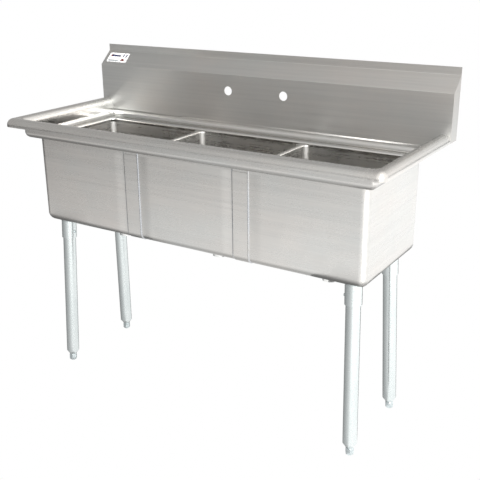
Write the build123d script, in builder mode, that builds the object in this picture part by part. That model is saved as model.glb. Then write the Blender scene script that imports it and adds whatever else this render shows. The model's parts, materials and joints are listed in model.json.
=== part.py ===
from build123d import *
import math
import os

os.makedirs("parts", exist_ok=True)

# Three compartment sink: a pressed stainless top with rolled rims and a backsplash,
# three drawn bowls, four splayed tube legs on levelling feet, and lift-out basket drains.
# +Z is up, +Y points to the wall, +X to the user's right, and the origin is on the floor
# under the middle of the whole sink. All sizes are in millimetres.

# ---------------------------------------------------------------- driving sizes
WIDTH = 1270.0
DEPTH = 513.0
SHEET = 1.5

RIM_TOP = 861.0
RIM_LOW = 836.0
ROLL_WIDTH = 42.0
ROLL_R = 20.5
RIM_CORNER = 22.0
PAN_CORNER = 9.0

DECK_TOP = 799.5
DECK_COVE = 16.0
DECK_EDGE = 8.0
UPSTAND_TOP = 820.0

SPLASH_SETBACK = 49.5
SPLASH_BEND_Z = 975.0
SPLASH_LIP_Z = 1018.0
SPLASH_TOP = 1040.0
SPLASH_BEND_R = 4.0
FAUCET_Z = 923.0
FAUCET_CENTRES = 203.2
FAUCET_HOLE_R = 14.3

BOWL_WIDTH = 371.0
BOWL_DEPTH = 353.8
BOWL_PITCH = 382.0
BOWL_Y = -4.3
BOWL_CORNER = 22.0
BOWL_TOP = 785.0
BOWL_BOTTOM = 521.0
BOWL_EDGE = 25.0
DISH_DROP = 4.0
DISH_WIDTH = 150.0
DRAIN_SEAT = 124.0

DIVIDER_TOP = 790.5
DIVIDER_EDGE = 5.0
DIVIDER_FLARE = 42.0
STRIP_WIDTH = 50.0
STRIP_THICK = 4.0
STRIP_PROUD = 1.5

LEG_R = 20.65
LEG_WALL = 1.6
LEG_INSET = 53.0
LEG_FORWARD = 5.4
SPLAY_ACROSS = 0.0355
SPLAY_DEEP = 0.04
LEG_GAP = 4.0
PLATE_SIZE = 70.0
PLATE_THICK = 3.0
PLATE_CORNER = 10.0
PLATE_SHIFT = 12.0
SOCKET_WALL = 3.2
SOCKET_LENGTH = 62.0
SCREW_DROP = 40.0
SCREW_R = 4.0
SCREW_HEAD = 4.0
SCREW_CHAMFER = 0.6
FIT = 0.05

FOOT_HEX = 22.0
FOOT_HEIGHT = 25.0
FOOT_CHAMFER = 2.5
FOOT_GAP = 0.4
CONE_HEIGHT = 12.0
CONE_END_R = 12.5
INSERT_DEPTH = 30.0
STEM_R = 6.0
STEM_LENGTH = 50.0
FOOT_FLARE = 45.0

DRAIN_HOLE_R = 45.0
FLANGE_R = 57.0
FLANGE_THICK = 1.6
CUP_R = 44.0
CUP_WALL = 1.6
CUP_DEPTH = 44.0
CUP_TAPER = 10.0
BAR_WIDTH = 3.0
BAR_HEIGHT = 4.0
OUTLET_R = 23.0
OUTLET_WALL = 3.0
OUTLET_LENGTH = 24.0
GASKET_THICK = 3.0
WASHER_THICK = 1.2
NUT_THICK = 9.0
NUT_R = 53.0
NUT_LUGS = 6
LUG_WIDTH = 12.0
LUG_REACH = 4.0
BASKET_R = 39.5
BASKET_RIM_R = 41.5
BASKET_DEPTH = 30.0
BASKET_DROP = 4.0
BASKET_EDGE = 3.0
BASKET_HOLES = 16
BASKET_RING_R = 31.0
BASKET_WALL = 1.0
BASKET_HOLE_R = 2.6
POST_R = 4.0
KNOB_R = 9.0
KNOB_HEIGHT = 12.0
KNOB_TOP = 6.0
KNOB_EDGE = 2.0
SEAL_R = 25.0
SEAL_THICK = 6.0
SEAL_EDGE = 1.5

LABEL_WIDTH = 86.0
LABEL_HEIGHT = 40.0
LABEL_THICK = 0.3
LABEL_X = -578.0
LABEL_UP = 0.52
LABEL_CORNER = 3.0

# ---------------------------------------------------------------- derived sizes
FRONT_Y = -DEPTH / 2
BACK_Y = DEPTH / 2
SPLASH_Y = BACK_Y - SPLASH_SETBACK
BEYOND_Y = BACK_Y + 2 * ROLL_WIDTH
PAN_HALF = WIDTH / 2 - ROLL_WIDTH
PAN_FRONT = FRONT_Y + ROLL_WIDTH
DECK_LOW = DECK_TOP - SHEET
OPEN_DEPTH = BOWL_DEPTH - 2 * SHEET
OPEN_WIDTH = 2 * BOWL_PITCH + BOWL_WIDTH - 2 * SHEET
OPEN_CORNER = BOWL_CORNER - SHEET
BOWL_X = {"left": -BOWL_PITCH, "middle": 0.0, "right": BOWL_PITCH}
GAP_X = {"left": -BOWL_PITCH / 2, "right": BOWL_PITCH / 2}
SEAT_Z = BOWL_BOTTOM - DISH_DROP + SHEET


def finish(built, name):
    """Labels a finished piece and writes it as its own STEP file."""
    built.part.label = name
    export_step(built.part, f"parts/{name}.step")


def middle_y(front, back):
    """The Y halfway between two edges."""
    return (front + back) / 2


def edges_within(edges, x, half_x, half_y):
    """The edges whose middles lie over a rectangle round (x, BOWL_Y)."""
    return edges.filter_by(
        lambda edge: abs(edge.center().X - x) < half_x and abs(edge.center().Y - BOWL_Y) < half_y
    )


def edges_at(edges, level):
    """The edges that lie level at one height."""
    return edges.filter_by_position(Axis.Z, level - FIT, level + FIT)


def direction(turn, count):
    """The level direction of one of count even steps round a circle."""
    angle = 2 * math.pi * turn / count
    return (math.cos(angle), math.sin(angle), 0)


# ---------------------------------------------------------------- pressed top
def make_roll(inset):
    """The half-round rim on three sides: its skin for inset 0, its hollow for inset SHEET."""
    outer_half = WIDTH / 2 - inset
    inner_half = PAN_HALF + inset
    outer_front = FRONT_Y + inset
    inner_front = PAN_FRONT - inset
    with BuildPart() as roll:
        with BuildSketch(Plane.XY.offset(RIM_LOW)):
            with Locations((0, middle_y(outer_front, BEYOND_Y))):
                RectangleRounded(2 * outer_half, BEYOND_Y - outer_front, RIM_CORNER - inset)
            with Locations((0, middle_y(inner_front, 2 * BEYOND_Y))):
                RectangleRounded(
                    2 * inner_half, 2 * BEYOND_Y - inner_front, PAN_CORNER + inset, mode=Mode.SUBTRACT
                )
        extrude(amount=RIM_TOP - inset - RIM_LOW)
        top_edges = roll.faces().sort_by(Axis.Z)[-1].edges()
        fillet(top_edges.filter_by(lambda edge: edge.center().Y < BEYOND_Y - ROLL_WIDTH), ROLL_R - inset)
    return roll


def make_tray(inset, low):
    """The pan under the rim: its outside for inset SHEET, the pocket in it for inset 0."""
    front = PAN_FRONT - inset
    back = SPLASH_Y + inset
    with BuildPart() as tray:
        with BuildSketch(Plane.XY.offset(low)) as plan:
            with Locations((0, middle_y(front, back))):
                Rectangle(2 * (PAN_HALF + inset), back - front)
            fillet(plan.vertices().group_by(Axis.Y)[0], PAN_CORNER + inset)
        extrude(amount=RIM_LOW - low)
        fillet(tray.faces().sort_by(Axis.Z)[0].edges(), DECK_COVE + inset)
    return tray


roll_skin = make_roll(0)
roll_hollow = make_roll(SHEET)
tray_skin = make_tray(SHEET, DECK_LOW)
tray_pocket = make_tray(0, DECK_TOP)

with BuildPart() as deck_pan:
    add(tray_skin.part)
    with BuildSketch(Plane.XY.offset(BOWL_TOP)):
        with Locations((0, BOWL_Y)):
            RectangleRounded(OPEN_WIDTH + 2 * SHEET, BOWL_DEPTH, BOWL_CORNER)
    extrude(amount=DECK_LOW - BOWL_TOP)
    under = edges_at(deck_pan.edges(), DECK_LOW)
    fillet(edges_within(under, 0, OPEN_WIDTH / 2 + 2 * SHEET, BOWL_DEPTH / 2 + SHEET), DECK_EDGE - SHEET)
    add(tray_pocket.part, mode=Mode.SUBTRACT)
    with BuildSketch(Plane.XY.offset(BOWL_TOP)):
        with Locations((0, BOWL_Y)):
            RectangleRounded(OPEN_WIDTH, OPEN_DEPTH, OPEN_CORNER)
    extrude(amount=DECK_TOP - BOWL_TOP, mode=Mode.SUBTRACT)
    lip = edges_at(deck_pan.edges(), DECK_TOP)
    fillet(edges_within(lip, 0, OPEN_WIDTH / 2 + FIT, OPEN_DEPTH / 2 + FIT), DECK_EDGE)
    add(roll_skin.part)
    add(roll_hollow.part, mode=Mode.SUBTRACT)
    with BuildSketch(Plane.XY.offset(UPSTAND_TOP)):
        with Locations((0, middle_y(SPLASH_Y, 2 * BEYOND_Y))):
            Rectangle(2 * WIDTH, 2 * BEYOND_Y - SPLASH_Y)
    extrude(amount=RIM_TOP - UPSTAND_TOP + ROLL_WIDTH, mode=Mode.SUBTRACT)
finish(deck_pan, "deck_pan")


# ---------------------------------------------------------------- backsplash
faucet_spots = [
    Plane(origin=(side * FAUCET_CENTRES / 2, SPLASH_Y, FAUCET_Z), z_dir=(0, -1, 0)) for side in (-1, 1)
]

with BuildPart() as backsplash:
    with BuildSketch(Plane.YZ):
        with BuildLine():
            FilletPolyline(
                (SPLASH_Y, UPSTAND_TOP),
                (SPLASH_Y, SPLASH_BEND_Z),
                (BACK_Y - SHEET, SPLASH_LIP_Z),
                (BACK_Y - SHEET, SPLASH_TOP),
                radius=SPLASH_BEND_R,
            )
            offset(amount=SHEET, side=Side.RIGHT)
        make_face()
    extrude(amount=WIDTH / 2, both=True)
    with BuildSketch(Plane.XZ.offset(-SPLASH_Y)):
        with Locations((0, middle_y(UPSTAND_TOP, RIM_LOW))):
            Rectangle(2 * WIDTH, RIM_LOW - UPSTAND_TOP)
            Rectangle(2 * (PAN_HALF + SHEET), RIM_LOW - UPSTAND_TOP, mode=Mode.SUBTRACT)
    extrude(amount=SPLASH_SETBACK, both=True, mode=Mode.SUBTRACT)
    with Locations(*faucet_spots):
        Hole(FAUCET_HOLE_R)
finish(backsplash, "backsplash")

for hand, side in (("left", -1), ("right", 1)):
    with BuildPart() as end_cap:
        with BuildSketch(Plane.YZ.offset(side * WIDTH / 2)):
            with BuildLine():
                Polyline(
                    (SPLASH_Y, RIM_LOW),
                    (SPLASH_Y, SPLASH_BEND_Z),
                    (BACK_Y, SPLASH_LIP_Z),
                    (BACK_Y, RIM_LOW),
                    close=True,
                )
            make_face()
        extrude(amount=-side * SHEET)
        add(backsplash.part, mode=Mode.SUBTRACT)
        largest = end_cap.part.solids().sort_by(SortBy.VOLUME)[-1]
        add(largest, mode=Mode.REPLACE)
    finish(end_cap, f"splash_end_cap_{hand}")


# ---------------------------------------------------------------- bowls
def make_tub(inset):
    """A bowl's outside for inset 0 and its inside for inset SHEET, with a dished bottom."""
    floor = BOWL_BOTTOM + inset
    with BuildPart() as tub:
        with BuildSketch(Plane.XY.offset(floor)):
            RectangleRounded(BOWL_WIDTH - 2 * inset, BOWL_DEPTH - 2 * inset, BOWL_CORNER - inset)
        extrude(amount=BOWL_TOP - floor)
        fillet(tub.faces().sort_by(Axis.Z)[0].edges(), BOWL_EDGE - inset)
        with BuildSketch(Plane.XY.offset(floor)):
            Rectangle(DISH_WIDTH, DISH_WIDTH)
        with BuildSketch(Plane.XY.offset(floor - DISH_DROP)):
            Rectangle(DRAIN_SEAT, DRAIN_SEAT)
        loft()
    return tub


tub_skin = make_tub(0)
tub_hollow = make_tub(SHEET)
bowl_skins = {hand: Pos(x, BOWL_Y, 0) * tub_skin.part for hand, x in BOWL_X.items()}

for hand, x in BOWL_X.items():
    with BuildPart() as bowl:
        with Locations((x, BOWL_Y, 0)):
            add(tub_skin.part)
            add(tub_hollow.part, mode=Mode.SUBTRACT)
        with BuildSketch(Plane.XY.offset(BOWL_BOTTOM - DISH_DROP)):
            with Locations((x, BOWL_Y)):
                Circle(DRAIN_HOLE_R)
        extrude(amount=SHEET, mode=Mode.SUBTRACT)
    finish(bowl, f"bowl_{hand}")

for hand, x in GAP_X.items():
    with BuildPart() as divider:
        with BuildSketch(Plane.XY.offset(BOWL_TOP)):
            with Locations((x, BOWL_Y)):
                Rectangle(BOWL_PITCH, OPEN_DEPTH + BOWL_PITCH)
            with Locations((x - BOWL_PITCH / 2, BOWL_Y), (x + BOWL_PITCH / 2, BOWL_Y)):
                RectangleRounded(BOWL_WIDTH - 2 * SHEET, OPEN_DEPTH, OPEN_CORNER, mode=Mode.SUBTRACT)
        extrude(amount=DIVIDER_TOP - BOWL_TOP)
        crest = divider.faces().sort_by(Axis.Z)[-1].edges()
        fillet(edges_within(crest, x, BOWL_PITCH / 2 - FIT, OPEN_DEPTH / 2 + FIT), DIVIDER_EDGE)
        with BuildSketch(Plane.XY.offset(BOWL_TOP)):
            with Locations((x, BOWL_Y)):
                Rectangle(DIVIDER_FLARE, OPEN_DEPTH)
        extrude(amount=DIVIDER_TOP - BOWL_TOP, mode=Mode.INTERSECT)
    finish(divider, f"divider_{hand}")

strip_front = BOWL_Y - BOWL_DEPTH / 2 - STRIP_PROUD
strip_low = BOWL_BOTTOM - STRIP_PROUD
for hand, x in GAP_X.items():
    with BuildPart() as infill:
        with BuildSketch(Plane.YZ.offset(x)):
            with BuildLine():
                FilletPolyline(
                    (strip_front, BOWL_TOP),
                    (strip_front, strip_low),
                    (strip_front + 2 * BOWL_EDGE, strip_low),
                    radius=BOWL_EDGE + STRIP_PROUD,
                )
                offset(amount=STRIP_THICK, side=Side.LEFT)
            make_face()
        extrude(amount=STRIP_WIDTH / 2, both=True)
        for skin in bowl_skins.values():
            add(skin, mode=Mode.SUBTRACT)
    finish(infill, f"infill_strip_{hand}")


# ---------------------------------------------------------------- legs and levelling feet
PLATE_LOW = BOWL_BOTTOM - PLATE_THICK
LEG_TILT = math.atan(math.hypot(SPLAY_ACROSS, SPLAY_DEEP))
FOOT_FACE_R = FOOT_HEX / 2 - FOOT_CHAMFER
FOOT_END = -(PLATE_LOW - FOOT_FACE_R * math.sin(LEG_TILT)) / math.cos(LEG_TILT)
FOOT_TOP = FOOT_END + FOOT_HEIGHT
CONE_LOW = FOOT_TOP + FOOT_GAP
TUBE_LOW = CONE_LOW + CONE_HEIGHT
LEG_X = OPEN_WIDTH / 2 + SHEET - LEG_INSET
LEG_MIDDLE_Y = BOWL_Y - LEG_FORWARD
LEG_REACH_Y = BOWL_DEPTH / 2 - LEG_INSET
LEG_Y = {"front": LEG_MIDDLE_Y - LEG_REACH_Y, "rear": LEG_MIDDLE_Y + LEG_REACH_Y}

for row, leg_y in LEG_Y.items():
    for hand, side in (("left", -1), ("right", 1)):
        place = f"{row}_{hand}"
        back = 1 if row == "rear" else -1
        leg_x = side * LEG_X
        leg_frame = Plane(
            origin=(leg_x, leg_y, PLATE_LOW),
            x_dir=(1, 0, side * SPLAY_ACROSS),
            z_dir=(-side * SPLAY_ACROSS, -back * SPLAY_DEEP, 1),
        )

        with BuildPart() as leg_plate:
            with BuildSketch(Plane.XY.offset(PLATE_LOW)):
                with Locations((leg_x - side * PLATE_SHIFT, leg_y - back * PLATE_SHIFT)):
                    RectangleRounded(PLATE_SIZE, PLATE_SIZE, PLATE_CORNER)
            extrude(amount=PLATE_THICK)
        finish(leg_plate, f"leg_plate_{place}")

        screw_level = leg_frame.offset(-SCREW_DROP)
        screw_frame = Plane(origin=screw_level.origin, z_dir=leg_frame.x_dir * -side)
        with BuildPart() as socket:
            with BuildSketch(leg_frame.offset(-SOCKET_LENGTH)):
                Circle(LEG_R + FIT + SOCKET_WALL)
                Circle(LEG_R + FIT, mode=Mode.SUBTRACT)
            extrude(amount=SOCKET_LENGTH + LEG_GAP)
            split(bisect_by=Plane.XY.offset(PLATE_LOW), keep=Keep.BOTTOM)
            with BuildSketch(screw_frame):
                Circle(SCREW_R + FIT)
            extrude(amount=2 * LEG_R, mode=Mode.SUBTRACT)
        finish(socket, f"leg_socket_{place}")

        with BuildPart() as set_screw:
            with BuildSketch(screw_frame.offset(LEG_R)):
                Circle(SCREW_R)
            extrude(amount=SOCKET_WALL + SCREW_HEAD)
            chamfer(set_screw.edges().filter_by(GeomType.CIRCLE), SCREW_CHAMFER)
            with BuildSketch(screw_frame.offset(LEG_R + SOCKET_WALL + SCREW_HEAD)):
                RegularPolygon(SCREW_R / 2, 6)
            extrude(amount=-SCREW_HEAD, mode=Mode.SUBTRACT)
        finish(set_screw, f"set_screw_{place}")

        with BuildPart() as leg_tube:
            with BuildSketch(leg_frame.offset(TUBE_LOW)):
                Circle(LEG_R)
                Circle(LEG_R - LEG_WALL, mode=Mode.SUBTRACT)
            extrude(amount=-TUBE_LOW - LEG_GAP)
        finish(leg_tube, f"leg_tube_{place}")

        with BuildPart() as foot_insert:
            with BuildSketch(leg_frame.offset(TUBE_LOW)):
                Circle(LEG_R - LEG_WALL - FIT)
            extrude(amount=INSERT_DEPTH)
            with BuildSketch(leg_frame.offset(TUBE_LOW)):
                Circle(LEG_R)
            with BuildSketch(leg_frame.offset(CONE_LOW)):
                Circle(CONE_END_R)
            loft()
            with BuildSketch(leg_frame.offset(CONE_LOW)):
                Circle(STEM_R + FIT)
            extrude(amount=CONE_HEIGHT + INSERT_DEPTH, mode=Mode.SUBTRACT)
        finish(foot_insert, f"foot_insert_{place}")

        with BuildPart() as foot:
            with BuildSketch(leg_frame.offset(FOOT_END)):
                RegularPolygon(FOOT_HEX / 2, 6, major_radius=False)
            extrude(amount=FOOT_HEIGHT)
            with BuildSketch(leg_frame.offset(FOOT_END)):
                Circle(FOOT_FACE_R)
            extrude(amount=FOOT_HEIGHT, taper=-FOOT_FLARE, mode=Mode.INTERSECT)
            with BuildSketch(leg_frame.offset(FOOT_TOP)):
                Circle(STEM_R)
            extrude(amount=STEM_LENGTH)
        finish(foot, f"levelling_foot_{place}")


# ---------------------------------------------------------------- basket drains
DRAIN_UNDER = SEAT_Z - SHEET
CUP_STRAIGHT = CUP_DEPTH - CUP_TAPER

for hand, x in BOWL_X.items():
    drain_axis = Plane(origin=(x, BOWL_Y, SEAT_Z), x_dir=(1, 0, 0), z_dir=(0, -1, 0))
    drain_line = Axis((x, BOWL_Y, 0), (0, 0, 1))

    with BuildPart() as strainer_body:
        with BuildSketch(drain_axis):
            with BuildLine():
                Polyline(
                    (FLANGE_R, 0),
                    (CUP_R, 0),
                    (CUP_R, -CUP_STRAIGHT),
                    (OUTLET_R, -CUP_DEPTH),
                    (OUTLET_R, -CUP_DEPTH - OUTLET_LENGTH),
                    (OUTLET_R - OUTLET_WALL, -CUP_DEPTH - OUTLET_LENGTH),
                    (OUTLET_R - OUTLET_WALL, -CUP_DEPTH + CUP_WALL),
                    (CUP_R - CUP_WALL, -CUP_STRAIGHT + CUP_WALL),
                    (CUP_R - CUP_WALL, FLANGE_THICK),
                    (FLANGE_R - FLANGE_THICK, FLANGE_THICK),
                    close=True,
                )
            make_face()
        revolve(axis=drain_line)
        with BuildSketch(Plane.XY.offset(SEAT_Z - CUP_DEPTH - BAR_HEIGHT)):
            with Locations((x, BOWL_Y)):
                Rectangle(2 * OUTLET_R - OUTLET_WALL, BAR_WIDTH)
                Rectangle(BAR_WIDTH, 2 * OUTLET_R - OUTLET_WALL)
                Circle(2 * BAR_WIDTH)
        extrude(amount=BAR_HEIGHT)
    finish(strainer_body, f"strainer_body_{hand}")

    with BuildPart() as drain_gasket:
        with BuildSketch(Plane.XY.offset(DRAIN_UNDER - GASKET_THICK)):
            with Locations((x, BOWL_Y)):
                Circle(FLANGE_R)
                Circle(CUP_R + FIT, mode=Mode.SUBTRACT)
        extrude(amount=GASKET_THICK)
    finish(drain_gasket, f"drain_gasket_{hand}")

    with BuildPart() as drain_washer:
        with BuildSketch(Plane.XY.offset(DRAIN_UNDER - GASKET_THICK - WASHER_THICK)):
            with Locations((x, BOWL_Y)):
                Circle(NUT_R + LUG_REACH)
                Circle(CUP_R + FIT, mode=Mode.SUBTRACT)
        extrude(amount=WASHER_THICK)
    finish(drain_washer, f"drain_washer_{hand}")

    with BuildPart() as drain_nut:
        with BuildSketch(Plane.XY.offset(DRAIN_UNDER - GASKET_THICK - WASHER_THICK - NUT_THICK)):
            with Locations((x, BOWL_Y)):
                Circle(NUT_R)
                with PolarLocations(NUT_R, NUT_LUGS):
                    Rectangle(2 * LUG_REACH, LUG_WIDTH)
                Circle(CUP_R + FIT, mode=Mode.SUBTRACT)
        extrude(amount=NUT_THICK)
    finish(drain_nut, f"drain_nut_{hand}")

    basket_low = -BASKET_DROP - BASKET_DEPTH
    with BuildPart() as basket:
        with BuildSketch(drain_axis):
            with BuildLine():
                Polyline(
                    (0, basket_low),
                    (BASKET_R - BASKET_EDGE, basket_low),
                    (BASKET_R, basket_low + BASKET_EDGE),
                    (BASKET_R, -BASKET_DROP - BASKET_WALL),
                    (BASKET_RIM_R, -BASKET_DROP - BASKET_WALL),
                    (BASKET_RIM_R, -BASKET_DROP),
                    (BASKET_R - BASKET_WALL, -BASKET_DROP),
                    (BASKET_R - BASKET_WALL, basket_low + BASKET_EDGE + BASKET_WALL / 2),
                    (BASKET_R - BASKET_EDGE - BASKET_WALL / 2, basket_low + BASKET_WALL),
                    (0, basket_low + BASKET_WALL),
                    close=True,
                )
            make_face()
        revolve(axis=drain_line)
        with BuildSketch(Plane.XY.offset(SEAT_Z + basket_low)):
            with Locations((x, BOWL_Y)):
                with PolarLocations(BASKET_RING_R, BASKET_HOLES):
                    Circle(BASKET_HOLE_R)
        extrude(amount=BASKET_WALL, mode=Mode.SUBTRACT)
        side_row = SEAT_Z - BASKET_DROP - BASKET_DEPTH / 2
        for turn in range(BASKET_HOLES // 2):
            with BuildSketch(
                Plane(origin=(x, BOWL_Y, side_row), x_dir=(0, 0, 1), z_dir=direction(turn, BASKET_HOLES))
            ):
                Circle(BASKET_HOLE_R)
            extrude(amount=BASKET_RIM_R, both=True, mode=Mode.SUBTRACT)
    finish(basket, f"basket_{hand}")

    with BuildPart() as basket_seal:
        with BuildSketch(Plane.XY.offset(SEAT_Z + basket_low - SEAL_THICK)):
            with Locations((x, BOWL_Y)):
                Circle(SEAL_R)
        extrude(amount=SEAL_THICK)
        fillet(basket_seal.edges().sort_by(Axis.Z)[0], SEAL_EDGE)
    finish(basket_seal, f"basket_seal_{hand}")

    with BuildPart() as basket_knob:
        with BuildSketch(drain_axis):
            with BuildLine():
                Polyline(
                    (0, basket_low + BASKET_WALL),
                    (POST_R, basket_low + BASKET_WALL),
                    (POST_R, KNOB_TOP - KNOB_HEIGHT),
                    (KNOB_R, KNOB_TOP - KNOB_HEIGHT + KNOB_EDGE),
                    (KNOB_R, KNOB_TOP - KNOB_EDGE),
                    (KNOB_R - KNOB_EDGE, KNOB_TOP),
                    (0, KNOB_TOP),
                    close=True,
                )
            make_face()
        revolve(axis=drain_line)
    finish(basket_knob, f"basket_knob_{hand}")


# ---------------------------------------------------------------- label
SLOPE_RUN = BACK_Y - SHEET - SPLASH_Y
SLOPE_RISE = SPLASH_LIP_Z - SPLASH_BEND_Z
slope_frame = Plane(
    origin=(LABEL_X, SPLASH_Y + LABEL_UP * SLOPE_RUN, SPLASH_BEND_Z + LABEL_UP * SLOPE_RISE),
    x_dir=(1, 0, 0),
    z_dir=(0, -SLOPE_RISE, SLOPE_RUN),
)

with BuildPart() as blank_label:
    with BuildSketch(slope_frame):
        RectangleRounded(LABEL_WIDTH, LABEL_HEIGHT, LABEL_CORNER)
    extrude(amount=LABEL_THICK)
finish(blank_label, "blank_label")
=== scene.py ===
import json
import math

import bmesh
import bpy
from mathutils import Matrix, Vector, noise


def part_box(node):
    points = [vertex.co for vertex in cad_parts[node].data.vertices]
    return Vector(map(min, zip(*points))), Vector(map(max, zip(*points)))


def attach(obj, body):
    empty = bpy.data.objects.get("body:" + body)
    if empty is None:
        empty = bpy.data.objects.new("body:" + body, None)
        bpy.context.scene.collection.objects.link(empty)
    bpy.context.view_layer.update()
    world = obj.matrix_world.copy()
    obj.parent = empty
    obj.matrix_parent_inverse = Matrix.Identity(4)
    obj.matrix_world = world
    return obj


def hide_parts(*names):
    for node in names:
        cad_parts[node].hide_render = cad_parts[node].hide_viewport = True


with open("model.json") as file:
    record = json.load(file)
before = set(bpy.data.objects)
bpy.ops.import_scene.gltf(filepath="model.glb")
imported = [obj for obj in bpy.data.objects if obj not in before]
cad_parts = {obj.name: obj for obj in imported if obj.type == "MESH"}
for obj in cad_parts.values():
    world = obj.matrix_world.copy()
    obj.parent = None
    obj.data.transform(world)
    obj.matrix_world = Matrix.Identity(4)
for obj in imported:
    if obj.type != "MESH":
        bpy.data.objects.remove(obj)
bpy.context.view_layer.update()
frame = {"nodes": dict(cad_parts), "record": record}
nodes = frame["nodes"]
mounts = {mount["name"]: mount for mount in frame["record"]["mounts"]}

PLACES = [f"{row}_{hand}" for row in ("front", "rear") for hand in ("left", "right")]
WHITE = (1.0, 1.0, 1.0, 1.0)


# ---------------------------------------------------------------- camera
CAMERA_PLACE = Vector((1.3009, -1.9082, 1.3425))
CAMERA_YAW = 0.5723
CAMERA_PITCH = -0.351
CAMERA_ROLL = -0.0106
CAMERA_LENS = 59.09
SENSOR = 36.0
CLIP = (0.05, 200.0)


def make_camera():
    """The camera at the photograph's viewing angle."""
    data = bpy.data.cameras.new("camera")
    data.lens = CAMERA_LENS
    data.sensor_width = SENSOR
    data.clip_start, data.clip_end = CLIP
    camera = bpy.data.objects.new("camera", data)
    turn = Matrix.Rotation(CAMERA_YAW, 4, "Z")
    tip = Matrix.Rotation(math.pi / 2 + CAMERA_PITCH, 4, "X")
    roll = Matrix.Rotation(CAMERA_ROLL, 4, "Z")
    camera.matrix_world = Matrix.Translation(CAMERA_PLACE) @ turn @ tip @ roll
    bpy.context.scene.collection.objects.link(camera)
    bpy.context.scene.camera = camera


make_camera()


# ---------------------------------------------------------------- material tools
class Nodes:
    """Builds one material's node tree with short calls."""

    def __init__(self, tree):
        self.tree = tree

    def put(self, value, socket):
        """Gives a socket a value, or links it to another node's output."""
        if isinstance(value, bpy.types.NodeSocket):
            self.tree.links.new(value, socket)
        elif value is not None:
            socket.default_value = value

    def add(self, kind, **inputs):
        """A new node, with its inputs by name."""
        made = self.tree.nodes.new(kind)
        for name, value in inputs.items():
            self.put(value, made.inputs[name.replace("_", " ")])
        return made

    def math(self, operation, first, second=None):
        """An operation on one or two numbers."""
        made = self.tree.nodes.new("ShaderNodeMath")
        made.operation = operation
        self.put(first, made.inputs[0])
        self.put(second, made.inputs[1])
        return made.outputs[0]

    def vector(self, operation, first, second=None):
        """An operation on one or two vectors, which gives a vector or a number."""
        made = self.tree.nodes.new("ShaderNodeVectorMath")
        made.operation = operation
        self.put(first, made.inputs[0])
        self.put(second, made.inputs[1])
        return made.outputs[1 if operation in ("DOT_PRODUCT", "LENGTH") else 0]

    def split(self, value):
        """The X, Y and Z of a vector."""
        made = self.add("ShaderNodeSeparateXYZ")
        self.put(value, made.inputs[0])
        return made.outputs

    def place(self):
        """The object's own coordinates, in metres."""
        return self.add("ShaderNodeTexCoord").outputs["Object"]

    def stretched(self, scale):
        """The object's own coordinates, multiplied by scale along each axis."""
        return self.vector("MULTIPLY", self.place(), scale)

    def noise(self, scale, detail=3.0, roughness=0.5, distortion=0.0):
        """Noise with scale waves to the metre along each axis."""
        options = {"Detail": detail, "Roughness": roughness, "Distortion": distortion}
        return self.add("ShaderNodeTexNoise", Vector=self.stretched(scale), Scale=1.0, **options).outputs[0]

    def remap(self, value, span, ends=(0.0, 1.0), smooth=False):
        """A number that goes from one of the ends to the other while value goes over the span."""
        made = self.add("ShaderNodeMapRange")
        if smooth:
            made.interpolation_type = "SMOOTHSTEP"
        for socket, number in zip(made.inputs[:5], (value, *span, *ends)):
            self.put(number, socket)
        return made.outputs[0]

    def ramp(self, value, *stops):
        """The colour at value, between stops of (position, colour)."""
        made = self.add("ShaderNodeValToRGB")
        self.put(value, made.inputs[0])
        while len(made.color_ramp.elements) < len(stops):
            made.color_ramp.elements.new(0.5)
        for element, (position, color) in zip(made.color_ramp.elements, stops):
            element.position = position
            element.color = (*color, 1.0)
        return made.outputs[0]

    def levels(self, value, stops):
        """The grey at value, which goes from -1 to 1, between stops of (place, level)."""
        position = self.remap(value, (-1.0, 1.0))
        return self.ramp(position, *[((place + 1) / 2, (level,) * 3) for place, level in stops])

    def mix(self, factor, first, second):
        """A number between first and second, by a factor from 0 to 1."""
        made = self.add("ShaderNodeMix")
        made.data_type = "FLOAT"
        self.put(factor, made.inputs[0])
        self.put(first, made.inputs[2])
        self.put(second, made.inputs[3])
        return made.outputs[0]

    def tint(self, first, second):
        """One colour multiplied by another."""
        made = self.add("ShaderNodeMix")
        made.data_type = "RGBA"
        made.blend_type = "MULTIPLY"
        self.put(1.0, made.inputs[0])
        self.put(first, made.inputs[6])
        self.put(second, made.inputs[7])
        return made.outputs[2]

    def bump(self, height, depth, strength=0.5, under=None):
        """A normal from a height map, depth metres deep, on top of the normal under it."""
        made = self.add("ShaderNodeBump", Height=height, Distance=depth, Strength=strength)
        if under is not None:
            self.put(under, made.inputs["Normal"])
        return made.outputs[0]


def new_material(name, metallic, **sockets):
    """A Principled material. sockets are values or node outputs, by socket name."""
    made = bpy.data.materials.new(name)
    made.use_nodes = True
    build = Nodes(made.node_tree)
    shader = made.node_tree.nodes["Principled BSDF"]
    shader.inputs["Metallic"].default_value = metallic
    for socket, value in sockets.items():
        build.put(value, shader.inputs[socket.replace("_", " ")])
    return made, build, shader


def finish_material(build, shader, color, roughness, normal):
    """Gives the shader its colour, roughness and bumped normal."""
    build.put(color, shader.inputs["Base Color"])
    build.put(roughness, shader.inputs["Roughness"])
    build.put(normal, shader.inputs["Normal"])


# ---------------------------------------------------------------- brushed steel
# NOISE_SPAN holds nearly all of a noise's values, which lie about 0.5.
# The lines are (waves to the metre along them, and across them, detail of the noise).
# END_FACE_SPAN and UNDERSIDE_SPAN are of the normal's X and Z.
# RIM_FOOT_SPAN is of heights, and UPSTAND_SPAN of places from front to back, in metres.
STAINLESS = (0.65, 0.633, 0.618)
NOISE_SPAN = (0.3, 0.7)

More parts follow.
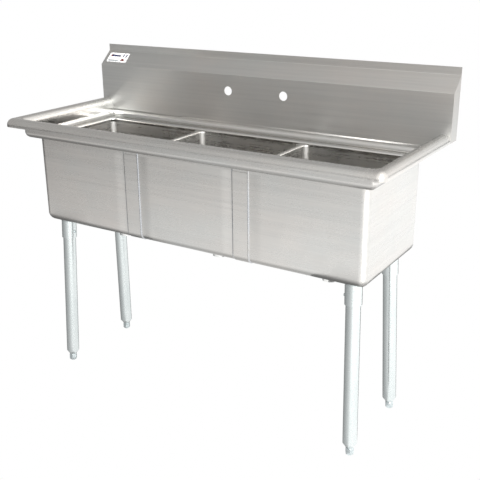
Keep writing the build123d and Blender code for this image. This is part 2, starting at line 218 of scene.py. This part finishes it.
FINE_LINES = (7.0, 700.0, 2.0)
BROAD_LINES = (2.2, 130.0, 3.0)
FINE_SHARE = 0.35
FINE_DEPTH = 0.00001
BROAD_DEPTH = 0.00003
LINE_SPAN = (0.32, 0.68)
LINE_SHADE = (0.88, 0.885, 0.89)
LINE_ROUGH = (-0.05, 0.06)
ACROSS_LINES = (0.0, 0.05, 1.0)
END_FACE_SPAN = (0.6, 0.8)

PATCHES = (3.0, 3.0, 5.0)
PATCH_TINTS = ((0.35, (0.94, 0.965, 0.965)), (0.65, (1.0, 0.985, 0.965)))
SMEARS = (14.0, 14.0, 9.0)
SMEAR_SPAN = (0.35, 0.7)
SMEAR_ROUGH = (-0.02, 0.05)
SHEET_WAVES = (2.6, 2.6, 3.4)
SHEET_DEPTH = 0.002

UNDERSIDE_SPAN = (-0.45, -0.03)
# Painted shade: faces that look downwards have their colour darkened to this fraction.
UNDERSIDE_PAINTED_SHADE = 0.5
SPLASH_ROUGH = 0.42
RIM_FOOT_SPAN = (0.827, 0.845)
UPSTAND_SPAN = (0.203, 0.207)
OUTWARD_SPAN = (0.02, 0.08)
CORNER_SPAN = (0.03, 0.12)
CORNER_ROUGH = 0.14
PULL_REACH = 0.042
PULL_DEPTH = 0.004


def darkened(color, factors):
    """A colour with each channel multiplied by its own factor."""
    return tuple(channel * factor for channel, factor in zip(color, factors))


def weld_pull(build):
    """How far the bowl fronts are drawn in beside the infill strips, from 0 to 1."""
    across, deep, _ = build.split(build.place())
    low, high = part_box("infill_strip_right")
    half = (high.x - low.x) / 2
    away = build.math("SUBTRACT", build.math("ABSOLUTE", across), (low.x + high.x) / 2)
    span = (half, half + PULL_REACH)
    near = build.remap(build.math("ABSOLUTE", away), span, (1.0, 0.0), smooth=True)
    in_front = build.math("LESS_THAN", deep, (low.y + high.y) / 2)
    return build.math("MULTIPLY", near, in_front)


def brush_lines(build, normal, ends_from):
    """Fine and broad brush lines. They turn on end faces, and on level faces beyond ends_from."""
    sideways = build.math("ABSOLUTE", build.split(normal)[0])
    beyond = build.math("GREATER_THAN", build.math("ABSOLUTE", build.split(build.place())[0]), ends_from)
    turned_by = build.math("MAXIMUM", build.remap(sideways, END_FACE_SPAN), beyond)

    def streaks(along, across, detail):
        level = build.noise((along, across, across), detail)
        turned = build.noise((across, along, across), detail)
        return build.mix(turned_by, level, turned)

    return streaks(*FINE_LINES), streaks(*BROAD_LINES)


def brushed_color(build, normal, tone):
    """The sheet's colour, with its brush lines, faint patches and painted shade on the faces that look
    downwards.
    """
    low, high = LINE_SPAN
    color = build.ramp(tone, (low, darkened(STAINLESS, LINE_SHADE)), (high, STAINLESS))
    patches = build.noise(PATCHES, detail=4.0, roughness=0.6)
    color = build.tint(color, build.ramp(patches, *PATCH_TINTS))
    # Painted shade, darker the more the face looks downwards.
    underside_shade = build.remap(build.split(normal)[2], UNDERSIDE_SPAN, (UNDERSIDE_PAINTED_SHADE, 1.0))
    shade = build.add("ShaderNodeCombineColor", Red=underside_shade, Green=underside_shade, Blue=underside_shade)
    return build.tint(color, shade.outputs[0])


def inner_roughness(build, normal, roughness, change, inside):
    """roughness with a change on the faces below the rim, apart from those that look outwards.

    At the foot of the backsplash it goes over into the backsplash's own roughness.
    """
    rim = build.remap(build.split(build.place())[2], RIM_FOOT_SPAN)
    level = build.vector("MULTIPLY", build.place(), (1.0, 1.0, 0.0))
    outward = build.remap(build.vector("DOT_PRODUCT", level, normal), OUTWARD_SPAN)
    outer = build.math("MAXIMUM", rim, outward)
    roughness = build.math("ADD", roughness, build.remap(outer, (0.0, 1.0), (change, 0.0)))
    blend = build.remap(build.split(build.place())[1], UPSTAND_SPAN, (0.0, SPLASH_ROUGH - inside))
    blend = build.math("MULTIPLY", blend, build.math("SUBTRACT", 1.0, outer))
    return build.math("ADD", roughness, blend)


def corner_roughness(build, normal, roughness):
    """roughness, with more of it on the upright corners."""
    level = build.vector("MULTIPLY", normal, (1.0, 1.0, 0.0))
    bent = build.split(build.vector("MULTIPLY", level, level))
    corner = build.math("MULTIPLY", bent[0], bent[1])
    return build.math("ADD", roughness, build.remap(corner, CORNER_SPAN, (0.0, CORNER_ROUGH)))


def brushed_steel(name, rough, grain=1.0, wave=1.0, smear=0.78, ends_from=2.0, inside=None, pulled=False):
    """Number 4 brushed stainless. The brush lines run level round every upright face.

    grain and wave scale the depth of the brush lines and of the sheet's slow waves.
    smear is how far the brush lines draw reflections out.
    Beyond ends_from, on both sides, the lines run from front to back on level faces too.
    inside is the roughness of the parts below the rim, where it differs.
    pulled is for a bowl, which the welds beside its infill strips have drawn in.
    """
    made, build, shader = new_material(name, metallic=1.0, Anisotropic=smear)
    normal = build.add("ShaderNodeTexCoord").outputs["Normal"]
    fine, broad = brush_lines(build, normal, ends_from)
    fine_part = build.math("MULTIPLY", fine, FINE_SHARE)
    tone = build.math("ADD", fine_part, build.math("MULTIPLY", broad, 1.0 - FINE_SHARE))
    smears = build.noise(SMEARS, detail=5.0, roughness=0.62, distortion=0.6)
    roughness = build.remap(tone, NOISE_SPAN, tuple(rough + change for change in LINE_ROUGH))
    roughness = build.math("ADD", roughness, build.remap(smears, SMEAR_SPAN, SMEAR_ROUGH))
    waves = build.bump(build.noise(SHEET_WAVES, detail=1.0), SHEET_DEPTH * wave)
    if inside is not None:
        roughness = inner_roughness(build, normal, roughness, inside - rough, inside)
    if pulled:
        roughness = corner_roughness(build, normal, roughness)
        waves = build.bump(weld_pull(build), -PULL_DEPTH, strength=1.0, under=waves)
    lines = build.bump(broad, BROAD_DEPTH * grain, under=waves)
    scratches = build.bump(fine, FINE_DEPTH * grain, under=lines)
    tangent = build.add("ShaderNodeCombineXYZ", **dict(zip("XYZ", ACROSS_LINES)))
    build.put(tangent.outputs[0], shader.inputs["Tangent"])
    finish_material(build, shader, brushed_color(build, normal, tone), roughness, scratches)
    return made


# ---------------------------------------------------------------- other materials
# A noise's numbers are waves to the metre along X, Y and Z. rough is the span of the roughness.
FINE_ROUGH = (-0.02, 0.03)
MARK_SHADE = (0.86, 0.86, 0.86)


def polished_steel(name, light, rough):
    """Bright rolled or spun stainless with water marks and a fine grain."""
    made, build, shader = new_material(name, metallic=1.0)
    marks = build.noise((60.0, 60.0, 60.0), detail=4.0, roughness=0.6)
    grain = build.noise((500.0, 500.0, 900.0), detail=2.0)
    color = build.ramp(marks, (0.3, darkened(light, MARK_SHADE)), (0.62, light))
    roughness = build.remap(marks, NOISE_SPAN, rough)
    roughness = build.math("ADD", roughness, build.remap(grain, NOISE_SPAN, FINE_ROUGH))
    finish_material(build, shader, color, roughness, build.bump(grain, depth=0.00002, strength=0.6))
    return made


WELD_TONES = ((0.35, (0.70, 0.72, 0.76)), (0.55, (0.80, 0.81, 0.83)), (0.75, (0.76, 0.74, 0.71)))


def weld_steel(name, brightness, rough):
    """Weld metal, a little bluer than the sheet, with faint heat colours."""
    made, build, shader = new_material(name, metallic=1.0)
    beads = build.noise((240.0, 240.0, 240.0))
    heat = build.noise((20.0, 20.0, 12.0))
    color = build.ramp(heat, *[(place, darkened(tone, (brightness,) * 3)) for place, tone in WELD_TONES])
    roughness = build.remap(beads, NOISE_SPAN, rough)
    finish_material(build, shader, color, roughness, build.bump(beads, depth=0.0002))
    return made


CRYSTAL_TONES = ((0.3, (0.58, 0.62, 0.62)), (0.5, (0.62, 0.66, 0.66)), (0.72, (0.66, 0.69, 0.69)))
CRYSTAL_SHARE = 0.2


def galvanised(name):
    """Bright galvanised tube: soft crystals, long drawing lines and a few dull patches."""
    made, build, shader = new_material(name, metallic=1.0)
    crystals = build.add("ShaderNodeTexVoronoi", Vector=build.stretched((1.0, 1.0, 0.4)), Scale=420.0)
    wash = build.noise((26.0, 26.0, 7.0), detail=4.0, roughness=0.55)
    drawn = build.noise((420.0, 420.0, 6.0), detail=2.0)
    facets = build.math("MULTIPLY", build.split(crystals.outputs["Color"])[0], CRYSTAL_SHARE)
    shade = build.math("ADD", facets, build.math("MULTIPLY", wash, 1.0 - CRYSTAL_SHARE))
    roughness = build.remap(shade, NOISE_SPAN, (0.30, 0.24))
    roughness = build.math("ADD", roughness, build.remap(drawn, NOISE_SPAN, FINE_ROUGH))
    color = build.ramp(shade, *CRYSTAL_TONES)
    finish_material(build, shader, color, roughness, build.bump(drawn, depth=0.00004))
    return made


def zinc_plated(name):
    """Zinc plate with a faint cloudiness and fine pits."""
    made, build, shader = new_material(name, metallic=0.9)
    cloud = build.noise((90.0, 90.0, 90.0), detail=4.0, roughness=0.6)
    pits = build.noise((700.0, 700.0, 700.0), detail=2.0)
    color = build.ramp(cloud, (0.3, (0.40, 0.45, 0.46)), (0.7, (0.60, 0.65, 0.66)))
    roughness = build.remap(cloud, NOISE_SPAN, (0.46, 0.3))
    finish_material(build, shader, color, roughness, build.bump(pits, depth=0.00005, strength=0.6))
    return made


def rubber(name):
    """Black moulded rubber with a dusty bloom."""
    made, build, shader = new_material(name, metallic=0.0)
    bloom = build.noise((120.0, 120.0, 120.0), detail=4.0)
    grain = build.noise((1100.0, 1100.0, 1100.0), detail=2.0)
    color = build.ramp(bloom, (0.35, (0.018, 0.018, 0.019)), (0.75, (0.05, 0.05, 0.05)))
    roughness = build.remap(bloom, NOISE_SPAN, (0.62, 0.8))
    finish_material(build, shader, color, roughness, build.bump(grain, depth=0.00006))
    return made


def pressed_fibre(name):
    """Red-brown pressed fibre with short flecks."""
    made, build, shader = new_material(name, metallic=0.0)
    flecks = build.noise((300.0, 900.0, 900.0))
    color = build.ramp(flecks, (0.3, (0.20, 0.11, 0.06)), (0.7, (0.38, 0.24, 0.15)))
    roughness = build.remap(flecks, NOISE_SPAN, (0.7, 0.85))
    finish_material(build, shader, color, roughness, build.bump(flecks, depth=0.0001))
    return made


def printed_film(name, color, dark):
    """Printed vinyl film with tiny dirt specks and a soft satin surface."""
    made, build, shader = new_material(name, metallic=0.0, Coat_Weight=0.15)
    specks = build.noise((260.0, 260.0, 260.0), detail=4.0, roughness=0.65)
    shade = build.ramp(specks, (0.28, dark), (0.42, color))
    roughness = build.remap(specks, NOISE_SPAN, (0.4, 0.32))
    finish_material(build, shader, shade, roughness, build.bump(specks, depth=0.00005, strength=0.4))
    return made


# ---------------------------------------------------------------- finishes
DECK = {"rough": 0.25, "grain": 0.05, "wave": 0.35, "smear": 0.55, "ends_from": 0.583, "inside": 0.10}
BOWL = {"rough": 0.27, "grain": 0.1, "wave": 1.2, "smear": 0.6, "pulled": True}

materials = {
    "sheet": brushed_steel("brushed_stainless", rough=SPLASH_ROUGH),
    "deck": brushed_steel("brushed_deck", **DECK),
    "bowl": brushed_steel("brushed_bowl", **BOWL),
    "weld": weld_steel("ground_weld", brightness=0.58, rough=(0.20, 0.34)),
    # A darker, rougher copy of the weld for the strips' left edges: unpolished metal, and also painted shade
    # for the side that faces away from the light.
    "shaded_dull_weld": weld_steel("unpolished_shaded_weld", brightness=0.54, rough=(0.36, 0.50)),
    "polished": polished_steel("polished_stainless", light=(0.72, 0.72, 0.71), rough=(0.16, 0.28)),
    "galvanised": galvanised("galvanised_steel"),
    "zinc": zinc_plated("zinc_plate"),
    "rubber": rubber("black_rubber"),
    "fibre": pressed_fibre("pressed_fibre"),
    "film": printed_film("label_film", (0.86, 0.86, 0.87), (0.62, 0.62, 0.62)),
    "blue_ink": printed_film("blue_ink", (0.018, 0.022, 0.075), (0.04, 0.045, 0.10)),
    "red_ink": printed_film("red_ink", (0.13, 0.022, 0.016), (0.2, 0.06, 0.05)),
    "grey_ink": printed_film("grey_ink", (0.33, 0.35, 0.36), (0.22, 0.22, 0.23)),
}

FINISHES = {
    "deck_pan": "deck",
    "backsplash": "sheet",
    "splash_end_cap": "sheet",
    "infill_strip": "bowl",
    "divider": "bowl",
    "bowl": "bowl",
    "strainer_body": "polished",
    "basket_knob": "polished",
    "basket_seal": "rubber",
    "basket": "polished",
    "drain_gasket": "rubber",
    "drain_washer": "fibre",
    "drain_nut": "zinc",
    "leg_plate": "galvanised",
    "leg_socket": "galvanised",
    "leg_tube": "galvanised",
    "set_screw": "zinc",
    "foot_insert": "galvanised",
    "levelling_foot": "zinc",
    "blank_label": "film",
}


def dress(piece, material):
    """Gives a piece one material."""
    piece.data.materials.clear()
    piece.data.materials.append(material)


def finish_of(node):
    """The material for the longest key in FINISHES that the node's name starts with."""
    key = max((k for k in FINISHES if node.startswith(k)), key=len)
    return materials[FINISHES[key]]


for node, piece in nodes.items():
    dress(piece, finish_of(node))


# ---------------------------------------------------------------- mesh tools
def new_piece(name, points, faces, material, body="root", smooth=True):
    """A mesh piece from points and faces, riding on a body."""
    data = bpy.data.meshes.new(name)
    data.from_pydata([tuple(point) for point in points], [], faces)
    work = bmesh.new()
    work.from_mesh(data)
    bmesh.ops.recalc_face_normals(work, faces=work.faces)
    work.to_mesh(data)
    work.free()
    for face in data.polygons:
        face.use_smooth = smooth
    piece = bpy.data.objects.new(name, data)
    bpy.context.scene.collection.objects.link(piece)
    dress(piece, materials[material])
    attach(piece, body)
    return piece


def skin(rings, closed=False):
    """The faces of a tube through rings of equal size, with a cap on each open end."""
    size = len(rings[0])
    points = [point for ring in rings for point in ring]
    faces = []
    spans = len(rings) if closed else len(rings) - 1
    for step in range(spans):
        here = step * size
        there = (step + 1) % len(rings) * size
        for k in range(size):
            nearby = (k + 1) % size
            faces.append((here + k, here + nearby, there + nearby, there + k))
    if not closed:
        faces.append(tuple(range(size)))
        faces.append(tuple(range(len(points) - size, len(points))))
    return points, faces


# ---------------------------------------------------------------- strip welds
# A weld's outline is a list of (across, rise): from the strip's edge, and from its face.
COLLAR_RISE = 0.009
BEND_R = 0.025
BEND_STEPS = 20
EDGE_SINK = 0.0005
EDGE_LIP = 0.00002
RIGHT_EDGE = ((-0.0026, -0.0003), (-0.0022, 0.0), (-0.0007, 0.0006), (-0.0002, 0.0007), (0.0003, 0.0005))
LEFT_EDGE = ((-0.0006, -0.0003), (-0.0004, 0.0), (0.0002, 0.0), (0.0011, -0.0006))
RIGHT_FOOT = 0.0034
LEFT_FOOT = 0.0036


def front_line(x):
    """Points and outward normals down a bowl's front, round its lower bend and a little way under."""
    strip_low, strip_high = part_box("infill_strip_left")
    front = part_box("bowl_left")[0].y
    under = strip_low.z + front - strip_low.y
    centre = Vector((x, front + BEND_R, under + BEND_R))
    stations = [(Vector((x, front, strip_high.z + COLLAR_RISE)), Vector((0, -1, 0)))]
    for step in range(BEND_STEPS + 1):
        turn = math.pi / 2 * step / BEND_STEPS
        out = Vector((0, -math.cos(turn), -math.sin(turn)))
        stations.append((centre + out * BEND_R, out))
    stations.append((Vector((x, strip_high.y, under)), Vector((0, 0, -1))))
    return stations


def edge_weld(name, x, side):
    """The weld over the step at a strip's edge. side is the way from the strip to the bowl."""
    strip_low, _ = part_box("infill_strip_left")
    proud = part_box("bowl_left")[0].y - strip_low.y
    crest, foot = (RIGHT_EDGE, RIGHT_FOOT) if side > 0 else (LEFT_EDGE, LEFT_FOOT)
    outline = [(across, proud + rise) for across, rise in crest]
    outline += [(foot, EDGE_LIP), (foot, -EDGE_SINK), (crest[0][0], -EDGE_SINK)]
    rings = []
    for point, outward in front_line(x):
        rings.append([point + Vector((side * across, 0, 0)) + outward * rise for across, rise in outline])
    points, faces = skin(rings)
    # The left edges take the darker weld copy, which paints shade on them.
    new_piece(name, points, faces, "weld" if side > 0 else "shaded_dull_weld", smooth=False)


for hand in ("left", "right"):
    low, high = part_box(f"infill_strip_{hand}")
    edge_weld(f"front_weld_{hand}_a", low.x, -1)
    edge_weld(f"front_weld_{hand}_b", high.x, 1)


# ---------------------------------------------------------------- splash seam
ROLL_WIDTH = 0.042
SEAM_WIDTH = 0.005
SEAM_PROUD = 0.00015
SEAM_SINK = 0.0006
SEAM_STEPS = 6


def splash_seam():
    """The flush weld where the top's upstand meets the backsplash."""
    low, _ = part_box("backsplash")
    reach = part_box("deck_pan")[1].x - ROLL_WIDTH
    outline = []
    for step in range(SEAM_STEPS + 1):
        turn = math.pi * step / SEAM_STEPS
        outline.append((SEAM_WIDTH / 2 * math.cos(turn), SEAM_PROUD * math.sin(turn) ** 2))
    outline += [(-SEAM_WIDTH / 2, -SEAM_SINK), (SEAM_WIDTH / 2, -SEAM_SINK)]
    rings = [[Vector((x, low.y - rise, low.z + up)) for up, rise in outline] for x in (-reach, reach)]
    points, faces = skin(rings)
    new_piece("splash_seam_weld", points, faces, "sheet")


splash_seam()


# ---------------------------------------------------------------- levelling feet
TURNS = 96
HEX_HALF = 0.011
HEX_HEIGHT = 0.025
HEX_FACE_R = 0.0085
HEX_LEVELS = (0.0, 0.0008, 0.0016, 0.0024, 0.0034, 0.0046)
STEM_TOP = 0.075
THREAD_PITCH = 0.00175
THREAD_CREST = 0.0059
THREAD_ROOT = 0.0050
THREAD_SLOPE = 2.4
THREAD_STEPS = 8


def leg_line(place):
    """The middle of a foot's ground face, and the direction up its leg."""
    mount = mounts[f"foot_face_{place}"]
    return Vector(mount["pos_m"]), -Vector(mount["axis"])


def hex_radius(turn, level):
    """The radius of a hexagon with flats to the front and back and a 45 degree cone at each end."""
    nearest = turn % (math.pi / 3) - math.pi / 6
    cone = HEX_FACE_R + min(level, HEX_HEIGHT - level)
    return min(cone, HEX_HALF / math.cos(nearest))


def thread_radius(turn, level):
    """The radius of the threaded stem, between its root and its crest."""
    phase = (level / THREAD_PITCH - turn / (2 * math.pi)) % 1.0
    return THREAD_ROOT + (THREAD_CREST - THREAD_ROOT) * min(1.0, THREAD_SLOPE * abs(phase - 0.5))


def foot_rings(foot, across, up):
    """Rings up a turned hexagon, then up its threaded stem."""
    deep = up.cross(across)
    levels = [(level, hex_radius) for level in HEX_LEVELS]
    levels += [(HEX_HEIGHT - level, hex_radius) for level in reversed(HEX_LEVELS)]
    level = HEX_HEIGHT
    while level <= STEM_TOP:
        levels.append((level, thread_radius))
        level += THREAD_PITCH / THREAD_STEPS
    rings = []
    for level, radius_at in levels:
        ring = []
        for step in range(TURNS):
            turn = 2 * math.pi * step / TURNS
            out = across * math.cos(turn) + deep * math.sin(turn)
            ring.append(foot + out * radius_at(turn, level) + up * level)
        rings.append(ring)
    return rings


for place in PLACES:
    foot_point, up = leg_line(place)
    across = Vector((1, 0, -up.x / up.z)).normalized()
    points, faces = skin(foot_rings(foot_point, across, up))
    foot = new_piece(f"threaded_foot_{place}", points, faces, "zinc", f"levelling_foot_{place}", smooth=False)
    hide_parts(f"levelling_foot_{place}")


# ---------------------------------------------------------------- leg welds
SOCKET_OUTER = 0.0239
BEAD_WIDTH = 0.006
BEAD_HEIGHT = 0.0022
BEAD_ROOT = 0.45
BEAD_SINK = 0.0006
BEAD_SIDES = 9
BEAD_SPACING = 0.0008
RIPPLE = 0.12
RIPPLE_PITCH = 0.0016
WOBBLE_WAVES = 90.0
WOBBLE_HEIGHT = 0.15
WOBBLE_WIDTH = 0.1


def ring_path(centre, axis):
    """Stations of (point, outward, sideways) round a socket, outward at 45 degrees from its plane."""
    first = axis.orthogonal().normalized()
    second = axis.cross(first)
    count = int(2 * math.pi * SOCKET_OUTER / BEAD_SPACING)
    stations = []
    for k in range(count):
        turn = 2 * math.pi * k / count
        out = first * math.cos(turn) + second * math.sin(turn)
        stations.append((centre + out * SOCKET_OUTER, (out + axis).normalized(), (out - axis).normalized()))
    return stations


def bead_ring(point, outward, sideways, travelled):
    """A bead's outline at one station, with its ripple and wobble."""
    wobble = noise.noise(point * WOBBLE_WAVES)
    swell = 1.0 + RIPPLE * math.sin(2 * math.pi * travelled / RIPPLE_PITCH) + WOBBLE_HEIGHT * wobble
    ring = []
    for k in range(BEAD_SIDES):
        turn = math.pi * k / (BEAD_SIDES - 1)
        side = math.cos(turn) * BEAD_WIDTH / 2 * (1 + WOBBLE_WIDTH * wobble)
        ring.append(point + sideways * side + outward * math.sin(turn) * BEAD_HEIGHT * swell)
    for root in (-BEAD_ROOT, BEAD_ROOT):
        ring.append(point + sideways * BEAD_WIDTH * root - outward * BEAD_SINK)
    return ring


def socket_weld(place):
    """The weld bead round the top of a leg socket, against its plate."""
    foot_point, up = leg_line(place)
    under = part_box(f"leg_plate_{place}")[0].z
    centre = foot_point + up * ((under - foot_point.z) / up.z)
    stations = ring_path(centre, -up.normalized())
    rings = []
    travelled = 0.0
    for step, (point, outward, sideways) in enumerate(stations):
        if step:
            travelled += (point - stations[step - 1][0]).length
        rings.append(bead_ring(point, outward, sideways, travelled))
    points, faces = skin(rings, closed=True)
    new_piece(f"socket_weld_{place}", points, faces, "galvanised")


for place in PLACES:
    socket_weld(place)


# ---------------------------------------------------------------- label print
LABEL_LIFT = 0.00025
LABEL_MARKS = (
    ("bar", "blue_ink", ((0.17, 0.60), (0.60, 0.60), (0.60, 0.76), (0.13, 0.82))),
    ("bar_end", "red_ink", ((0.08, 0.58), (0.19, 0.60), (0.15, 0.84), (0.11, 0.82))),
    ("strip", "grey_ink", ((0.05, 0.06), (0.58, 0.06), (0.58, 0.24), (0.05, 0.27))),
    ("tick_a", "blue_ink", ((0.70, 0.56), (0.76, 0.55), (0.79, 0.88), (0.72, 0.90))),
    ("tick_b", "blue_ink", ((0.85, 0.50), (0.90, 0.55), (0.94, 0.86), (0.86, 0.84))),
    ("patch", "red_ink", ((0.68, 0.17), (0.86, 0.13), (0.89, 0.26), (0.78, 0.40), (0.72, 0.40))),
)


def label_mark(name, ink, outline):
    """A plain printed shape on the label. Its corners are fractions of the label's width and height."""
    low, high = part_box("blank_label")
    run = Vector((0, high.y - low.y, high.z - low.z))
    outward = Vector((0, -run.z, run.y)).normalized()
    count = len(outline)
    points = []
    for lift in (0.0, LABEL_LIFT):
        for across, up in outline:
            points.append(low + Vector(((high.x - low.x) * across, 0, 0)) + run * up + outward * lift)
    faces = [tuple(range(count)), tuple(range(count, 2 * count))]
    faces += [(k, (k + 1) % count, count + (k + 1) % count, count + k) for k in range(count)]
    new_piece(f"label_{name}", points, faces, ink, smooth=False)


for name, ink, outline in LABEL_MARKS:
    label_mark(name, ink, outline)


# ---------------------------------------------------------------- studio tools
def seen_or_reflected(build, reflected, seen):
    """One shader where the camera looks straight at it, and another in light and reflections."""
    direct = build.add("ShaderNodeLightPath").outputs["Is Camera Ray"]
    both = build.add("ShaderNodeMixShader", Fac=direct)
    build.put(reflected, both.inputs[1])
    build.put(seen, both.inputs[2])
    return both.outputs[0]


def studio_material(name):
    """A material without nodes, and the tool that builds them."""
    made = bpy.data.materials.new(name)
    made.use_nodes = True
    made.node_tree.nodes.clear()
    return made, Nodes(made.node_tree)


# ---------------------------------------------------------------- floor
FLOOR_HALF = 80.0
FLOOR_CELLS = 16
FLOOR_TINT = (1.0, 1.0, 0.995, 1.0)
FLOOR_LEVEL = 0.47
GLOW_WAY = (1.0, -0.2, 0.0)
GLOW_SPAN = (-2.6, 1.4)
GLOW_LEVEL = 0.94
POOL_WAY = (0.35, 0.94, 0.0)
POOL_SPAN = (-4.2, -1.6)
POOL_LEVEL = 0.20
BEHIND_WAY = (-0.8, 0.6, 0.0)
BEHIND_SPAN = (0.9, 2.1)
BEHIND_LEVEL = 0.18
PATCH_AT = (-1.35, -0.1, 0.0)
PATCH_SHAPE = (1.5, 1.3, 0.0)
PATCH_SPAN = (0.6, 1.15)
PATCH_LEVEL = 0.5


def floor_level(build):
    """The floor's brightness in light and reflections.

    It is brighter to the right, and darker from about 2 m in front of the sink forwards,
    at the left behind, and in a patch at the left.
    """
    pool = build.remap(build.vector("DOT_PRODUCT", build.place(), POOL_WAY), POOL_SPAN, smooth=True)
    across = build.vector("DOT_PRODUCT", build.place(), GLOW_WAY)
    glow = build.math("MULTIPLY", build.remap(across, GLOW_SPAN, (0.0, GLOW_LEVEL)), pool)
    level = build.math("ADD", build.math("ADD", glow, FLOOR_LEVEL), build.math("MULTIPLY", pool, POOL_LEVEL))
    back = build.vector("DOT_PRODUCT", build.place(), BEHIND_WAY)
    behind = build.remap(back, BEHIND_SPAN, (1.0, BEHIND_LEVEL), smooth=True)
    from_patch = build.vector("MULTIPLY", build.vector("SUBTRACT", build.place(), PATCH_AT), PATCH_SHAPE)
    patch = build.remap(build.vector("LENGTH", from_patch), PATCH_SPAN, (PATCH_LEVEL, 1.0), smooth=True)
    return build.math("MULTIPLY", level, build.math("MULTIPLY", behind, patch))


def make_floor():
    """A floor that the camera sees as plain white, and that elsewhere glows with painted light and shade."""
    data = bpy.data.meshes.new("floor")
    work = bmesh.new()
    bmesh.ops.create_grid(work, x_segments=FLOOR_CELLS, y_segments=FLOOR_CELLS, size=FLOOR_HALF)
    work.to_mesh(data)
    work.free()
    floor = bpy.data.objects.new("floor", data)
    bpy.context.scene.collection.objects.link(floor)
    made, build = studio_material("pale_floor")
    # Painted light: the floor glows with the shaped level instead of being lit.
    floor_glow = build.add("ShaderNodeEmission", Color=FLOOR_TINT, Strength=floor_level(build))
    white = build.add("ShaderNodeEmission", Color=WHITE, Strength=1.0)
    surface = seen_or_reflected(build, floor_glow.outputs[0], white.outputs[0])
    build.add("ShaderNodeOutputMaterial", Surface=surface)
    dress(floor, made)


# ---------------------------------------------------------------- flags
FLAG_R = 0.13
FLAG_STEPS = 24
FLAG_FROM = math.radians(-230.0)
FLAG_TO = math.radians(-14.0)
FLAG_DROP = 0.01
FLAG_FLOOR = 0.002
FLAG_LEVELS = (
    (-1.0, 0.22),
    (-0.28, 0.44),
    (0.10, 0.56),
    (0.44, 0.64),
    (0.68, 0.78),
    (0.86, 0.95),
    (0.96, 1.10),
)


def glowing_flag_card():
    """The flags' glowing material, darkest on the side away from the camera. It paints light and shade into
    the legs' reflections.
    """
    made, build = studio_material("glowing_flag_card")
    towards = build.math("DIVIDE", build.split(build.place())[0], FLAG_R)
    # Painted light: the card glows, though it is no lamp.
    card = build.add("ShaderNodeEmission", Color=build.levels(towards, FLAG_LEVELS), Strength=1.0)
    build.add("ShaderNodeOutputMaterial", Surface=card.outputs[0])
    return made


def leg_flag(place, card):
    """A curved glowing card under a leg and round the back of it, which only shows in reflections, as a
    painted reflection on the leg.
    """
    low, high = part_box(f"leg_tube_{place}")
    points = [(0.0, 0.0, FLAG_FLOOR)]
    faces = []
    for step in range(FLAG_STEPS + 1):
        turn = FLAG_FROM + (FLAG_TO - FLAG_FROM) * step / FLAG_STEPS
        for rise in (FLAG_FLOOR, high.z - FLAG_DROP):
            points.append((FLAG_R * math.cos(turn), FLAG_R * math.sin(turn), rise))
        if step:
            last = 2 * step
            faces.append((last - 1, last + 1, last + 2, last))
            faces.append((0, last - 1, last + 1))
    data = bpy.data.meshes.new(f"flag_{place}")
    data.from_pydata(points, [], faces)
    flag = bpy.data.objects.new(f"flag_{place}", data)
    middle = (low + high) / 2
    flag.location = (middle.x, middle.y, 0.0)
    flag.rotation_euler = (0.0, 0.0, math.atan2(CAMERA_PLACE.y - middle.y, CAMERA_PLACE.x - middle.x))
    for seen_by in ("visible_camera", "visible_diffuse", "visible_shadow", "visible_transmission"):
        setattr(flag, seen_by, False)
    bpy.context.scene.collection.objects.link(flag)
    dress(flag, card)


# ---------------------------------------------------------------- world and light
WALLS_WAY = (0.95, -0.3, 0.0)
WALLS_TINT = (1.0, 0.99, 0.975, 1.0)
WALL_LEVELS = (
    (-1.0, 0.50),
    (-0.86, 0.55),
    (-0.72, 0.56),
    (-0.61, 0.54),
    (-0.44, 0.54),
    (-0.2, 0.84),
    (0.0, 1.10),
    (0.12, 1.40),
    (0.5, 1.6),
)
SOFTBOX_WAY = Vector((0.72, -0.62, 0.32)).normalized()
SOFTBOX_SPAN = (0.84, 0.97)
SOFTBOX_GLOW = 5.0
KEY_AT = Vector((2.3, -1.7, 2.9))
KEY_AIM = Vector((0.1, 0.0, 0.7))
KEY_SIZE = 1.0
KEY_POWER = 18.0


def make_world():
    """A studio that is dark at the left and bright at the right, with a softbox at the front right."""
    world = bpy.data.worlds.new("studio")
    world.use_nodes = True
    bpy.context.scene.world = world
    build = Nodes(world.node_tree)
    walls = world.node_tree.nodes["Background"]
    way = build.add("ShaderNodeTexCoord").outputs["Generated"]
    level = build.levels(build.vector("DOT_PRODUCT", way, WALLS_WAY), WALL_LEVELS)
    near = build.vector("DOT_PRODUCT", way, SOFTBOX_WAY)
    softbox = build.remap(near, SOFTBOX_SPAN, (0.0, SOFTBOX_GLOW), smooth=True)
    build.put(build.math("ADD", level, softbox), walls.inputs["Strength"])
    build.put(WALLS_TINT, walls.inputs["Color"])
    plain = build.add("ShaderNodeBackground", Strength=1.0, Color=WHITE)
    surface = seen_or_reflected(build, walls.outputs[0], plain.outputs[0])
    build.put(surface, world.node_tree.nodes["World Output"].inputs["Surface"])


def make_key_light():
    """A square softbox that the camera itself doesn't see."""
    data = bpy.data.lights.new("key", "AREA")
    data.size = KEY_SIZE
    data.energy = KEY_POWER
    lamp = bpy.data.objects.new("key", data)
    aim = (KEY_AIM - KEY_AT).to_track_quat("-Z", "Y")
    lamp.matrix_world = Matrix.Translation(KEY_AT) @ aim.to_matrix().to_4x4()
    lamp.visible_camera = False
    bpy.context.scene.collection.objects.link(lamp)


bpy.context.scene.view_settings.view_transform = "Standard"
make_floor()
make_world()
flag_card = glowing_flag_card()
for place in PLACES:
    leg_flag(place, flag_card)
make_key_light()
